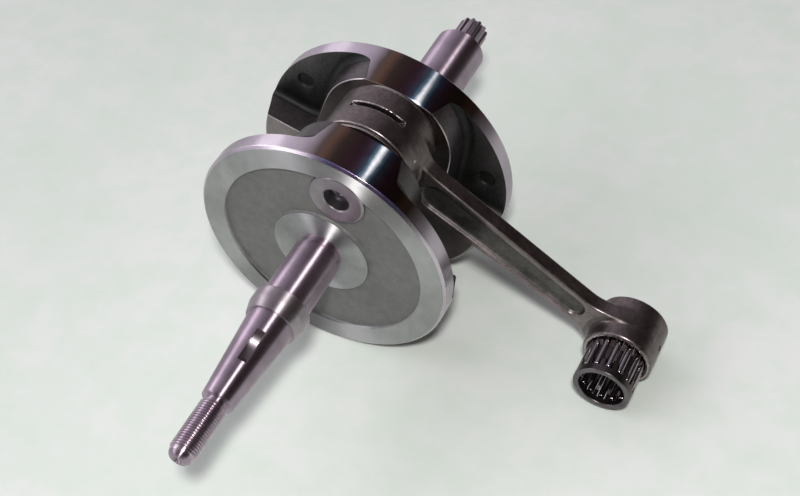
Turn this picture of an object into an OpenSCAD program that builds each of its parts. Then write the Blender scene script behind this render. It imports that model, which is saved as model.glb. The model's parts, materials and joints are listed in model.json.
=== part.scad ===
// Pressed-up single-cylinder two-stroke crankshaft with its connecting rod and both needle bearings.
// Y is the crankshaft's axis: the flywheel side is -Y and the primary-drive side is +Y.
// The assembly lies as on a bench: both web rims and the rod's small end rest on Z = -wheel_r.

/* [Crank webs] */
// Diameter of both web discs
wheel_d = 120; // [118:1:124]
// Width over the two outer web faces
webs_w = 72; // [70:1:74]
// Free gap between the two inner web faces
web_gap = 27.6; // [27.4:0.1:28.2]
// Thickness of a web where it is pocketed, beside the pin
pocket_t = 8.4; // [7:0.2:10]
// Depth of the ring-shaped recess in the outer face
recess_depth = 1.6; // [1:0.1:2.4]
// Chamfer round the outer edge
rim_chamfer = 1.3; // [0.6:0.1:2]

/* [Crank throw] */
// Throw: crank axis to pin axis, half the stroke
throw = 39; // [38:0.5:40]
// Angle of the pin from +X towards +Z as the assembly lies
pin_angle = 69.7; // [60:0.1:80]
// Diameter of the crank pin
pin_d = 26; // [25.5:0.1:26]
// Diameter of the oil-plugged bore through the crank pin
pin_bore_d = 11.8; // [10:0.2:13]

/* [Flywheel-side shaft] */
// Diameter of the flywheel-side main journal
near_journal_d = 22; // [22:0.5:23]
// Distance from the web face to the seal collar
near_journal_len = 33; // [30:1:34]
// Outer diameter of the seal collar
collar_d = 26.4; // [26:0.2:28]
// Length of the seal collar
collar_len = 11; // [9:0.5:12]
// Length of the flywheel taper, which narrows 1 in 6
taper_len = 42; // [40:1:44]
// Outer diameter of the flywheel nut's thread
thread_d = 12; // [12:12]
// Number of thread turns
thread_turns = 20; // [16:1:22]

/* [Drive-side shaft] */
// Diameter of the drive-side main journal
far_journal_d = 25; // [24:0.5:25]
// Length of the drive-side main journal
far_journal_len = 72; // [66:1:76]
// Diameter over the spline teeth
spline_d = 15; // [14:0.5:16]
// Length of the splined end
spline_len = 16; // [14:1:20]
// Number of spline teeth
spline_teeth = 12; // [8:1:14]

/* [Connecting rod] */
// Distance between the centres of the two eyes
rod_len = 139; // [136:1:142]
// Outer diameter of the big end
big_d = 45.7; // [45:0.1:46.4]
// Width of the big end
big_w = 24; // [23.6:0.1:24.2]
// Outer diameter of the small end
small_d = 31.6; // [31:0.1:33]
// Width of the small end
small_w = 23; // [22:0.5:24]
// Thickness of the I-beam over its flanges
beam_t = 7.6; // [7:0.2:9]
// Thickness of the I-beam's thin web
beam_web_t = 3; // [2.4:0.2:4]

/* [Needle bearings] */
// Number of needles in the big-end bearing
big_needles = 14; // [12:1:14]
// Diameter of a big-end needle
big_needle_d = 3.96; // [3.94:0.01:3.97]
// Number of needles in the small-end bearing
small_needles = 14; // [12:1:14]
// Diameter of a small-end needle
small_needle_d = 2.98; // [2.96:0.01:2.99]
// How far the small-end bearing stands out of its seat towards the flywheel side
bearing_out = 17.5; // [0:0.5:20]

/* [Hidden] */
$fn = 96;
far = 200;
clearance = 0.05;

// crank webs
wheel_r = wheel_d / 2;
web_in = web_gap / 2;
web_out = webs_w / 2;
rim_in_r = wheel_r - 11.7;
hub_r = 22.9;
inner_edge = 0.7;
draft_in = 4;
draft_w = 12;
ledge_u = 2;
boss_u = throw - 7.5;
boss_r = wheel_r - boss_u + 2.2;
boss_root_half = 33;
dimple_r = 4.3;
dimple_depth = 0.8;
dimple_u = 20.5;
dimple_v = 46.3;
press = 0.02;

// crank pin and its bearing
pin_r = pin_d / 2;
pin_chamfer = 0.8;
plug_t = 2;
plug_inset = 6;
big_pitch_r = pin_r + big_needle_d / 2 + clearance / 2;
big_bore_r = big_pitch_r + big_needle_d / 2 + clearance;
big_needle_len = 16;
big_cage_len = 23.6;
big_cage_in_r = pin_r + 0.6;
washer_t = 1.2;
washer_r = 22;
washer_gap = 0.3;

// flywheel-side shaft, with s the distance from the middle plane
near_r = near_journal_d / 2;
relief_w = 3;
relief = 0.8;
collar_s = web_out + near_journal_len;
seat_r = near_r - 0.2;
taper_s = collar_s + collar_len + 1;
taper_end_s = taper_s + taper_len;
taper_end_r = seat_r - taper_len / 12;
thread_r = thread_d / 2;
thread_pitch = 1.25;
thread_root_r = thread_r - 0.61 * thread_pitch;
thread_s = taper_end_s + 1.75;
thread_end_s = thread_s + thread_turns * thread_pitch;
dome_h = 3;
key_r = 9.5;
key_w = 4;
key_s = taper_s + 17;
key_u = 14.4;
centre_r = 1.6;

// drive-side shaft
far_r = far_journal_d / 2;
spline_s = web_out + far_journal_len;
spline_root_r = spline_d / 2 - 1;
spline_tooth_w = 3.14 * spline_d / spline_teeth / 2;

// connecting rod, with its small end resting on the bench
big_r = big_d / 2;
small_r = small_d / 2;
small_pitch_r = 11.5;
small_bore_r = small_pitch_r + small_needle_d / 2 + clearance;
rod_drop = throw * sin(pin_angle) + wheel_r - small_r;
rod_angle = asin(rod_drop / rod_len);
beam_root_half = 11.2;
beam_tip_half = 7.9;
beam_root_x = 24;
beam_tip_x = rod_len - 22;
flange = 2.5;
recess_root_x = 35;
recess_tip_x = rod_len - 28;
slot_w = 2.4;
slot_angle = 114.7;
slot_cutter_r = 29;
slot_cutter_x = 45;
oil_hole_r = 1.3;
oil_hole_angles = [39, 23];
flare_overlap = 0.3;
edge = 0.6;

// small-end bearing
small_needle_len = 16.4;
small_cage_len = 24;
small_cage_in_r = 10.35;
small_cage_out_r = small_bore_r - clearance;
small_needle_start = 4;
window_gap = 0.55;

function numbered(stem, i) = str(stem, i < 10 ? "0" : "", i);

// ---- placing ----

// Turns a child's Z axis to +Y and starts it at y
module along_y(y = 0) {
    translate([0, y, 0]) rotate([-90, 0, 0]) children();
}

// The throw's frame: X points from the crank axis to the pin
module in_throw() {
    rotate([0, -pin_angle, 0]) children();
}

module at_pin() {
    in_throw() translate([throw, 0, 0]) children();
}

// The rod's frame: X points from the big end to the small end
module in_rod() {
    translate([throw * cos(pin_angle), 0, throw * sin(pin_angle)]) rotate([0, rod_angle, 0]) children();
}

module at_small_end() {
    in_rod() translate([rod_len, 0, 0]) rotate([0, -rod_angle, 0]) children();
}

module flywheel_side() {
    mirror([0, 1, 0]) children();
}

// ---- shared shapes ----

module ring(outer_r, inner_r, width, chamfer = 0) {
    c = chamfer;
    rotate_extrude() polygon([
        [inner_r + c, 0], [outer_r - c, 0], [outer_r, c],
        [outer_r, width - c], [outer_r - c, width], [inner_r + c, width],
        [inner_r, width - c], [inner_r, c]
    ]);
}

module turned(outline) {
    along_y() rotate_extrude() polygon(outline);
}

// Centre drilling left by the lathe in a shaft's end
module centre_drilling(s) {
    along_y(s - 3) cylinder(r1 = 0.4, r2 = centre_r, h = 3.01);
}

// ---- crank halves ----

// Forged pin boss on a web's inner face: a round head on a root that widens to the counterweight
module boss_outline() {
    translate([boss_u, 0]) circle(r = boss_r);
    polygon([
        [ledge_u - 1, -boss_root_half], [boss_u, -boss_r],
        [boss_u, boss_r], [ledge_u - 1, boss_root_half]
    ]);
}

// The two open pockets beside the boss, which leave the counterweight thick on the far side
module pockets() {
    along_y(web_in - 1) linear_extrude(web_out - pocket_t - web_in + 1) difference() {
        translate([ledge_u, -wheel_r - 5]) square([wheel_r + 10, wheel_d + 10]);
        boss_outline();
    }
    for (side = [-1, 1])
        translate([dimple_u, 0, side * dimple_v])
            along_y(web_out - pocket_t - 1) cylinder(r = dimple_r, h = 1 + dimple_depth);
}

// Slope that narrows the counterweight's rim towards the inner face
module counterweight_draft() {
    slope = draft_in / draft_w;
    intersection() {
        turned([
            [wheel_r - draft_in - slope, web_in - 1], [wheel_r + slope, web_in + draft_w + 1],
            [wheel_r + 5, web_in + draft_w + 1], [wheel_r + 5, web_in - 1]
        ]);
        translate([-far, -far, -far]) cube([far + ledge_u + 1, 2 * far, 2 * far]);
    }
}

module web() {
    recess_s = web_out - recess_depth;
    turned([
        [0, web_in], [wheel_r - inner_edge, web_in], [wheel_r, web_in + inner_edge],
        [wheel_r, web_out - rim_chamfer], [wheel_r - rim_chamfer, web_out],
        [rim_in_r, web_out], [rim_in_r, recess_s], [hub_r, recess_s], [hub_r, web_out], [0, web_out]
    ]);
}

module pin_hole() {
    translate([throw, 0, 0]) along_y() cylinder(r = pin_r - press, h = far);
}

module near_shaft() {
    turned(concat(
        [[0, web_out - 2], [near_r - relief, web_out - 2], [near_r - relief, web_out + relief_w],
         [near_r, web_out + relief_w + relief], [near_r, collar_s], [seat_r, collar_s],
         [seat_r, taper_s], [taper_end_r, taper_end_s], [thread_root_r, taper_end_s],
         [thread_root_r, thread_s]],
        [for (i = [0 : 2 * thread_turns - 1])
            [i % 2 == 0 ? thread_root_r : thread_r, thread_s + i * thread_pitch / 2]],
        [for (a = [0 : 15 : 90])
            [thread_root_r * (1 - 0.45 * (1 - cos(a))), thread_end_s + dome_h * sin(a)]],
        [[0, thread_end_s + dome_h]]
    ));
}

module keyway() {
    translate([key_u, key_s, 0]) cylinder(r = key_r, h = key_w, center = true);
}

module flywheel_side_half() {
    color("silver") flywheel_side() in_throw() difference() {
        union() {
            web();
            near_shaft();
        }
        pockets();
        counterweight_draft();
        pin_hole();
        keyway();
        centre_drilling(thread_end_s + dome_h);
    }
}

module far_shaft() {
    turned([
        [0, web_out - 2], [far_r - relief, web_out - 2], [far_r - relief, web_out + relief_w],
        [far_r, web_out + relief_w + relief], [far_r, spline_s - 1], [far_r - 1, spline_s],
        [spline_root_r, spline_s], [spline_root_r, spline_s + spline_len], [0, spline_s + spline_len]
    ]);
}

// Straight teeth, rounded to the outer diameter and bevelled at the end
module spline() {
    intersection() {
        along_y(spline_s - 0.5) for (i = [1 : spline_teeth])
            rotate(i * 360 / spline_teeth)
                translate([0, -spline_tooth_w / 2, 0]) cube([spline_d, spline_tooth_w, spline_len + 0.5]);
        turned([
            [0, spline_s - 1], [spline_d / 2, spline_s - 1], [spline_d / 2, spline_s + spline_len - 1],
            [spline_d / 2 - 1, spline_s + spline_len], [0, spline_s + spline_len]
        ]);
    }
}

module drive_side_half() {
    color("silver") in_throw() difference() {
        union() {
            web();
            far_shaft();
            spline();
        }
        pockets();
        counterweight_draft();
        pin_hole();
        centre_drilling(spline_s + spline_len);
    }
}

// ---- crank pin, plugs, collar and washers ----

module crank_pin() {
    color("lightgray") at_pin() along_y(-web_out) ring(pin_r, pin_bore_d / 2, webs_w, pin_chamfer);
}

module pin_plug(s) {
    color("dimgray") at_pin() along_y(s) cylinder(r = pin_bore_d / 2, h = plug_t);
}

module seal_collar() {
    collar_r = collar_d / 2;
    color("gray") flywheel_side() turned([
        [seat_r, collar_s], [collar_r - edge, collar_s], [collar_r, collar_s + edge],
        [collar_r, collar_s + collar_len * 0.55], [seat_r + 1, collar_s + collar_len],
        [seat_r, collar_s + collar_len]
    ]);
}

module thrust_washer() {
    color("darkgray") at_pin() along_y(big_w / 2 + washer_gap) ring(washer_r, pin_r + clearance, washer_t);
}

// ---- connecting rod ----

// Blend between an eye of radius r and a beam of the given half height; its arc runs a little
// way into both, so that no two surfaces only touch
module flare(r, half, fillet) {
    x = sqrt(pow(r + fillet, 2) - pow(half + fillet, 2)) - flare_overlap;
    z = half + fillet - flare_overlap;
    for (side = [-1, 1])
        difference() {
            polygon([[0, 0], [x, 0], [x, side * z]]);
            translate([x, side * z]) circle(r = fillet);
        }
}

module beam_outline() {
    polygon([
        [0, -beam_root_half], [beam_root_x, -beam_root_half], [beam_tip_x, -beam_tip_half],
        [rod_len, -beam_tip_half], [rod_len, beam_tip_half],
        [beam_tip_x, beam_tip_half], [beam_root_x, beam_root_half], [0, beam_root_half]
    ]);
    flare(big_r, beam_root_half, 12);
    translate([rod_len, 0]) mirror([1, 0]) flare(small_r, beam_tip_half, 16);
}

// Long hollow in each side of the beam, which leaves the I section
module beam_recess() {
    root = beam_root_half - flange - 0.8;
    tip = beam_tip_half - flange;
    translate([recess_root_x, 0]) circle(r = root);
    translate([recess_tip_x, 0]) circle(r = tip);
    polygon([
        [recess_root_x, -root], [recess_tip_x, -tip], [recess_tip_x, tip], [recess_root_x, root]
    ]);
}

module oil_slots() {
    for (side = [-1, 1])
        rotate([0, side * slot_angle, 0]) translate([slot_cutter_x, 0, 0])
            along_y(-slot_w / 2) cylinder(r = slot_cutter_r, h = slot_w);
}

module oil_holes() {
    for (a = oil_hole_angles)
        translate([rod_len, 0, 0]) rotate([0, 90 - a, 0])
            translate([0, 0, small_bore_r - 1]) cylinder(r = oil_hole_r, h = small_r);
}

module connecting_rod() {
    recess_t = (beam_t - beam_web_t) / 2;
    color("dimgray") in_rod() difference() {
        union() {
            along_y(-big_w / 2) ring(big_r, big_bore_r - 1, big_w, edge);
            translate([rod_len, 0, 0]) along_y(-small_w / 2) ring(small_r, small_bore_r - 1, small_w, edge);
            along_y(-beam_t / 2) linear_extrude(beam_t) beam_outline();
        }
        for (y = [-beam_t / 2 - 1, beam_t / 2 - recess_t])
            along_y(y) linear_extrude(recess_t + 1) beam_recess();
        along_y(-big_w) cylinder(r = big_bore_r, h = 2 * big_w);
        translate([rod_len, 0, 0]) along_y(-small_w) cylinder(r = small_bore_r, h = 2 * small_w);
        oil_slots();
        oil_holes();
    }
}

// ---- needle bearings ----

module cage(outer_r, inner_r, len, needles, needle_d, needle_len, start) {
    difference() {
        along_y(-len / 2) ring(outer_r, inner_r, len, 0.3);
        for (i = [1 : needles])
            rotate([0, -start - i * 360 / needles, 0])
                translate([inner_r - 2, -needle_len / 2 - 0.3, -(needle_d + window_gap) / 2])
                    cube([outer_r, needle_len + 0.6, needle_d + window_gap]);
    }
}

module needle(i, needles, pitch_r, d, len, start) {
    rotate([0, -start - i * 360 / needles, 0])
        translate([pitch_r, 0, 0]) along_y(-len / 2) roller(d / 2, len);
}

// Plain roller with slightly bevelled ends
module roller(r, len) {
    rotate_extrude() polygon([[0, 0], [r - 0.3, 0], [r, 0.3], [r, len - 0.3], [r - 0.3, len], [0, len]]);
}

module big_end_cage() {
    color("gray") at_pin()
        cage(big_bore_r - clearance, big_cage_in_r, big_cage_len,
             big_needles, big_needle_d, big_needle_len, 0);
}

module big_end_needle(i) {
    color("gainsboro") at_pin()
        needle(i, big_needles, big_pitch_r, big_needle_d, big_needle_len, 0);
}

module small_end_cage() {
    color("gray") at_small_end() translate([0, -bearing_out, 0])
        cage(small_cage_out_r, small_cage_in_r, small_cage_len,
             small_needles, small_needle_d, small_needle_len, small_needle_start);
}

module small_end_needle(i) {
    color("gainsboro") at_small_end() translate([0, -bearing_out, 0])
        needle(i, small_needles, small_pitch_r, small_needle_d, small_needle_len, small_needle_start);
}

flywheel_side_half();
drive_side_half();
crank_pin();
pin_plug(-web_out + plug_inset);  // pin_plug_flywheel_side
pin_plug(web_out - plug_inset - plug_t);  // pin_plug_drive_side
seal_collar();
connecting_rod();
flywheel_side() thrust_washer();  // thrust_washer_flywheel_side
thrust_washer();  // thrust_washer_drive_side
big_end_cage();
small_end_cage();
for (i = [1 : big_needles])
    big_end_needle(i);
for (i = [1 : small_needles])
    small_end_needle(i);
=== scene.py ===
"""Looks for a pressed-up single-cylinder crankshaft: webs, shafts, rod and needle bearings on a pale bench."""

import json
import math

import bmesh
import bpy
import numpy as np
from mathutils import Matrix, Vector


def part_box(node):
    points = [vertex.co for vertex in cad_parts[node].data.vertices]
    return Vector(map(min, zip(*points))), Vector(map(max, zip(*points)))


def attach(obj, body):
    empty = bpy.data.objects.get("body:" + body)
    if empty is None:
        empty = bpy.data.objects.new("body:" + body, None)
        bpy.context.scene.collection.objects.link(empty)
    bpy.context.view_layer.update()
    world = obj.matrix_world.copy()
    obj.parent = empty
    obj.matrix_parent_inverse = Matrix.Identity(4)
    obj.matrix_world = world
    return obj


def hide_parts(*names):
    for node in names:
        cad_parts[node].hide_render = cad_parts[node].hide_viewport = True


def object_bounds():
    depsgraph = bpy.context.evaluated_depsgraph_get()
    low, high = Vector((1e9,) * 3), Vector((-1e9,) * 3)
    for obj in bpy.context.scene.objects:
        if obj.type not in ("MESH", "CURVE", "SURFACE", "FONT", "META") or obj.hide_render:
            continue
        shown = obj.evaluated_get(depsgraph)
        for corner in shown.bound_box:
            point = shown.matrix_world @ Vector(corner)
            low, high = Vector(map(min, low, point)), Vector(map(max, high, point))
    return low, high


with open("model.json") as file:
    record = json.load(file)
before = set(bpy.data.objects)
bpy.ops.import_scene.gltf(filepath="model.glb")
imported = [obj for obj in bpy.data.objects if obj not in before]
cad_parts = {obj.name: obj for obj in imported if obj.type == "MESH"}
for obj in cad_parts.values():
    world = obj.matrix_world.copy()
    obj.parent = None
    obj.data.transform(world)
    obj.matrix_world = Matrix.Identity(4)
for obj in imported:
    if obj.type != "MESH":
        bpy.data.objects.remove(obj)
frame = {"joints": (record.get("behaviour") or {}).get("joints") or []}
cad_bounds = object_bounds()

MM = 0.001
TURN = 2 * math.pi


# ---- sizes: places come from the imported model, and profiles restate the part's own dimensions in mm ----

def joint_centre(name):
    """A joint's place in mm."""
    for joint in frame["joints"]:
        if joint["name"] == name:
            return Vector(joint["pos_m"]) / MM
    raise KeyError(name)


def node_box(name):
    """A node's lowest and highest corner in mm."""
    low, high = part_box(name)
    return low / MM, high / MM


def node_centre(name):
    """The middle of a node's box in mm."""
    low, high = node_box(name)
    return (low + high) / 2


PIN = joint_centre("rod_swing")
SMALL_END = node_centre("small_end_cage")
PIN_ANGLE = math.atan2(PIN.z, PIN.x)
THROW = math.hypot(PIN.x, PIN.z)
ROD_TILT = math.atan2(PIN.z - SMALL_END.z, SMALL_END.x - PIN.x)
ROD_LENGTH = math.hypot(SMALL_END.x - PIN.x, SMALL_END.z - PIN.z)
PIN_AXIS = (PIN.x, PIN.z)
SMALL_AXIS = (SMALL_END.x, SMALL_END.z)
BENCH_Z = cad_bounds[0].z / MM
WHEEL_R = -BENCH_Z
WEB_OUT = node_box("crank_pin")[1].y
FLYWHEEL_END = -node_box("flywheel_side_half")[0].y
DRIVE_END = node_box("drive_side_half")[1].y

# Distances from the middle along the crank, which "s" stands for below, and radii.
WEB_IN = 13.8
POCKET_FLOOR = WEB_OUT - 8.4
RECESS_FLOOR = WEB_OUT - 1.6
RIM_INNER_R = WHEEL_R - 11.7
HUB_R = 22.9
RIM_CHAMFER = 1.3
PIN_R = 13.0
PIN_BORE_R = 5.9


# ---- mesh tools ----

def in_throw(points):
    """Turns points about the crank axis, so that +X becomes the direction from the axis to the pin."""
    c, s = math.cos(PIN_ANGLE), math.sin(PIN_ANGLE)
    x, y, z = np.asarray(points, float).T
    return np.stack([x * c - z * s, y, x * s + z * c], axis=1)


def in_rod(points):
    """From the rod's frame, where +X runs from the big end to the small end, to the row's frame."""
    c, s = math.cos(ROD_TILT), math.sin(ROD_TILT)
    x, y, z = np.asarray(points, float).T
    return np.stack([PIN.x + x * c + z * s, y, PIN.z - x * s + z * c], axis=1)


def make_object(name, points, faces, materials, tags=None):
    """A mesh object from points in mm, with faces facing out and one material slot for each material."""
    mesh = bpy.data.meshes.new(name)
    mesh.from_pydata((np.asarray(points) * MM).tolist(), [], faces)
    for material in materials:
        mesh.materials.append(material)
    if tags is not None:
        mesh.polygons.foreach_set("material_index", np.asarray(tags, np.int32))
    mesh.polygons.foreach_set("use_smooth", np.ones(len(mesh.polygons), bool))
    work = bmesh.new()
    work.from_mesh(mesh)
    bmesh.ops.recalc_face_normals(work, faces=work.faces)
    work.to_mesh(mesh)
    work.free()
    made = bpy.data.objects.new(name, mesh)
    bpy.context.scene.collection.objects.link(made)
    return made


def crisp(thing, angle=32):
    """Smooth faces that meet crisply over an angle in degrees, with flat faces kept flat."""
    thing.data.set_sharp_from_angle(angle=math.radians(angle))
    weighted = thing.modifiers.new("weighted", "WEIGHTED_NORMAL")
    weighted.keep_sharp = True
    return thing


def rounded(outline, steps=3):
    """Replaces each inner corner of an outline by an arc. A point is (r, s, material index, corner radius)."""
    made = [outline[0][:3]]
    for before, here, after in zip(outline, outline[1:], outline[2:]):
        corner = Vector(here[:2])
        to_before, to_after = Vector(before[:2]) - corner, Vector(after[:2]) - corner
        reach = min(here[3], 0.45 * to_before.length, 0.45 * to_after.length)
        if reach < 0.01 or to_before.angle(to_after) > math.radians(170):
            made.append(here[:3])
            continue
        start = corner + to_before.normalized() * reach
        end = corner + to_after.normalized() * reach
        for i in range(steps + 1):
            t = i / steps
            spot = start * (1 - t) ** 2 + corner * 2 * t * (1 - t) + end * t**2
            made.append((spot.x, spot.y, here[2]))
    made.append(outline[-1][:3])
    return made


def turned(name, outline, materials, side=1, segments=192, centre=(0, 0), reshape=None):
    """A solid of revolution about Y. Its outline runs from axis to axis, or is closed when it never meets it."""
    angles = np.arange(segments) * TURN / segments
    points, rings, faces, tags = [], [], [], []
    for r, s, _ in outline:
        start = len(points)
        if r < 1e-6:
            points.append((centre[0], side * s, centre[1]))
            rings.append([start] * segments)
            continue
        radii = np.full(segments, r) if reshape is None else reshape(r, s, angles)
        points.extend(zip(centre[0] + radii * np.cos(angles), [side * s] * segments,
                          centre[1] + radii * np.sin(angles)))
        rings.append(list(range(start, start + segments)))
    pairs = list(zip(rings, rings[1:], [p[2] for p in outline]))
    if outline[0][0] > 1e-6:
        pairs.append((rings[-1], rings[0], outline[-1][2]))
    for low, high, tag in pairs:
        for i in range(segments):
            j = (i + 1) % segments
            corners = [low[i], low[j], high[j], high[i]]
            face = [c for k, c in enumerate(corners) if c != corners[k - 1]]
            if len(face) >= 3:
                faces.append(face)
                tags.append(tag)
    return make_object(name, points, faces, materials, tags)


def cut(thing, *cutters):
    """Takes cutters out of a solid. The new faces keep the cutter's material."""
    for cutter in cutters:
        step = thing.modifiers.new("cut", "BOOLEAN")
        step.operation = "DIFFERENCE"
        step.solver = "EXACT"
        step.material_mode = "TRANSFER"
        step.object = cutter
    bpy.context.view_layer.update()
    made = bpy.data.meshes.new_from_object(thing.evaluated_get(bpy.context.evaluated_depsgraph_get()))
    thing.modifiers.clear()
    thing.data = made
    for cutter in cutters:
        bpy.data.objects.remove(cutter)
    return thing


def transformed(thing, move):
    """Runs a function from points to points over an object's mesh, in mm."""
    flat = np.zeros(len(thing.data.vertices) * 3)
    thing.data.vertices.foreach_get("co", flat)
    thing.data.vertices.foreach_set("co", (move(flat.reshape(-1, 3) / MM) * MM).ravel())
    thing.data.update()
    return thing


def surface_net(field, low, high, step):
    """The surface where a distance field is 0, as points in mm and quads, by surface nets."""
    low = np.asarray(low, float)
    counts = np.ceil((np.asarray(high) - low) / step).astype(int) + 1
    axes = [low[a] + step * np.arange(counts[a]) for a in range(3)]
    values = field(*np.meshgrid(*axes, indexing="ij"))
    cells = counts - 1
    total, number = np.zeros((int(np.prod(cells)), 3)), np.zeros(int(np.prod(cells)))
    around = []
    for axis in range(3):
        a = np.take(values, range(counts[axis] - 1), axis)
        b = np.take(values, range(1, counts[axis]), axis)
        spot = np.argwhere((a < 0) != (b < 0))
        va, vb = a[tuple(spot.T)], b[tuple(spot.T)]
        crossing = spot.astype(float)
        crossing[:, axis] += va / (va - vb)
        u, v = (axis + 1) % 3, (axis + 2) % 3
        corners = []
        for du, dv in ((1, 1), (0, 1), (0, 0), (1, 0)):
            cell = spot.copy()
            cell[:, u] -= du
            cell[:, v] -= dv
            index = np.ravel_multi_index(tuple(cell.T), tuple(cells))
            corners.append(index)
            number += np.bincount(index, minlength=len(number))
            for k in range(3):
                total[:, k] += np.bincount(index, crossing[:, k], minlength=len(number))
        quads = np.stack(corners, axis=1)
        quads[va >= 0] = quads[va >= 0][:, ::-1]
        around.append(quads)
    used = np.flatnonzero(number)
    renumber = np.zeros(len(number), int)
    renumber[used] = np.arange(len(used))
    points = low + step * total[used] / number[used, None]
    for _ in range(3):
        points = settle(field, points, step)
    return points, renumber[np.concatenate(around)]


def settle(field, points, reach):
    """One Newton step of points towards a field's zero surface, of at most a share of the reach."""
    small = 0.02
    here = field(*points.T)
    slope = np.stack([
        (field(*(points + small * np.eye(3)[k]).T) - field(*(points - small * np.eye(3)[k]).T)) / (2 * small)
        for k in range(3)
    ], axis=1)
    move = -here[:, None] * slope / np.maximum((slope**2).sum(1), 0.05)[:, None]
    length = np.linalg.norm(move, axis=1, keepdims=True)
    return points + move * np.minimum(1, 0.4 * reach / np.maximum(length, 1e-9))


def blend_min(a, b, k):
    """Union of two distance fields with a fillet of about k."""
    h = np.maximum(k - np.abs(a - b), 0) / k
    return np.minimum(a, b) - h * h * k / 4


def blend_max(a, b, k):
    """Intersection of two distance fields with a fillet of about k."""
    return -blend_min(-a, -b, k)


def extruded(outline, thickness, r):
    """Distance to an outline's prism with edges rounded to radius r, from the two distances."""
    a, b = outline + r, thickness + r
    return np.minimum(np.maximum(a, b), 0) + np.hypot(np.maximum(a, 0), np.maximum(b, 0)) - r


# ---- material tools ----

def node(tree, kind, inputs=None, **settings):
    """A shader node with its inputs linked or set."""
    made = tree.nodes.new(kind)
    for key, value in settings.items():
        setattr(made, key, value)
    for key, value in (inputs or {}).items():
        if isinstance(value, bpy.types.NodeSocket):
            tree.links.new(value, made.inputs[key])
        else:
            made.inputs[key].default_value = value
    return made


def maths(tree, operation, a, b=0.0, clamp=False):
    """One arithmetic step."""
    return node(tree, "ShaderNodeMath", {0: a, 1: b}, operation=operation, use_clamp=clamp).outputs[0]


def ramp(tree, factor, stops):
    """A colour ramp. Each stop is (place, colour or grey level)."""
    made = node(tree, "ShaderNodeValToRGB", {"Fac": factor})
    band = made.color_ramp
    while len(band.elements) < len(stops):
        band.elements.new(0.5)
    for element, (place, colour) in zip(band.elements, stops):
        element.position = place
        element.color = (*colour, 1) if isinstance(colour, tuple) else (colour, colour, colour, 1)
    return made.outputs["Color"]


def mix(tree, factor, a, b):
    """Colour a where the factor is 0, and b where it is 1."""
    made = node(tree, "ShaderNodeMix", {"Factor": factor}, data_type="RGBA")
    for index, value in ((6, a), (7, b)):
        if isinstance(value, bpy.types.NodeSocket):
            tree.links.new(value, made.inputs[index])
        else:
            made.inputs[index].default_value = (*value, 1)
    return made.outputs[2]


def noise(tree, vector, scale, detail=3.0, roughness=0.5, distortion=0.0):
    """A 0..1 noise of so many blotches per metre."""
    return node(tree, "ShaderNodeTexNoise", {
        "Vector": vector, "Scale": scale, "Detail": detail, "Roughness": roughness, "Distortion": distortion,
    }).outputs["Fac"]


def spread(tree, value, low, high):
    """Stretches a 0..1 value to low..high."""
    return node(tree, "ShaderNodeMapRange", {"Value": value, "To Min": low, "To Max": high}).outputs[0]


def lathe_space(tree, centre=(0, 0)):
    """(radius, length, place) about an axis parallel to Y, in metres, with the place itself as a vector."""
    place = node(tree, "ShaderNodeTexCoord").outputs["Object"]
    parts = node(tree, "ShaderNodeSeparateXYZ", {0: place})
    across = maths(tree, "SUBTRACT", parts.outputs[0], centre[0] * MM)
    up = maths(tree, "SUBTRACT", parts.outputs[2], centre[1] * MM)
    square = maths(tree, "ADD", maths(tree, "MULTIPLY", across, across), maths(tree, "MULTIPLY", up, up))
    return maths(tree, "SQRT", square), parts.outputs[1], place


def tool_lines(tree, radius, length, scale):
    """Fine lines left by a lathe or grinder: noise that varies along the profile and hardly round it."""
    vector = node(tree, "ShaderNodeCombineXYZ", {0: radius, 1: length, 2: 0.0}).outputs[0]
    return noise(tree, vector, scale, detail=4.0, roughness=0.75)


# Temper colours of the rim and of its chamfer, from the hottest place outwards. The first, pale stop of each is no
# temper colour but a painted highlight: a thin streak along the rim where the lamp glints.
TEMPER_STOPS_WITH_STREAK = [
    (0.00, (0.55, 0.56, 0.60)), (0.05, (0.060, 0.090, 0.120)), (0.10, (0.018, 0.028, 0.045)),
    (0.22, (0.052, 0.027, 0.042)), (0.34, (0.075, 0.040, 0.042)), (0.48, (0.075, 0.055, 0.045)),
    (0.60, (0.20, 0.115, 0.080)), (0.70, (0.16, 0.125, 0.105)), (0.86, (0.44, 0.37, 0.41)),
    (1.00, (0.62, 0.56, 0.62)),
]
EDGE_TEMPER_STOPS_WITH_STREAK = [
    (0.00, (0.60, 0.56, 0.62)), (0.08, (0.10, 0.08, 0.14)), (0.24, (0.14, 0.10, 0.21)),
    (0.50, (0.15, 0.15, 0.30)), (0.66, (0.30, 0.27, 0.38)), (0.80, (0.58, 0.52, 0.58)),
    (1.00, (0.66, 0.60, 0.66)),
]
# The hottest place, and the painted highlight streak, lie on the rim at this angle from +X towards +Z, and the
# colours reach this far in mm.
HEAT_AND_STREAK_ANGLE = math.radians(62)
HEAT_FAR = 32.0


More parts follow.
